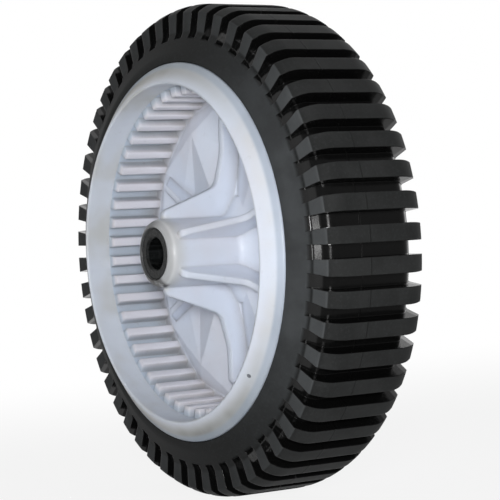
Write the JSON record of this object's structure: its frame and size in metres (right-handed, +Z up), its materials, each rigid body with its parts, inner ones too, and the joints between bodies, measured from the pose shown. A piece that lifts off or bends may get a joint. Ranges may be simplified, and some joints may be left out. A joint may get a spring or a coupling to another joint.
{
  "type": "lawn mower drive wheel",
  "caption": "Plastic wheel with a ribbed rubber tyre, a ring gear moulded inside the rim, a finned web and a bushed hub that runs on a fixed axle.",
  "frame": {"origin": "on the axle line, in the mid-plane of the tyre", "axes": "+Y along the axle line, away from the ring gear; +Z up; the ring gear and the long end of the hub face -Y"},
  "size_m": [0.2032, 0.0726, 0.2032],
  "materials": {
    "rim_plastic": "satin white moulded plastic",
    "tyre_rubber": "dull black rubber",
    "bushing_plastic": "oiled black plastic"
  },
  "bodies": {
    "root": {"wheel_rim": "rim_plastic", "tyre": "tyre_rubber", "gear_side_bushing": "bushing_plastic", "plain_side_bushing": "bushing_plastic"}
  },
  "joints": []
}
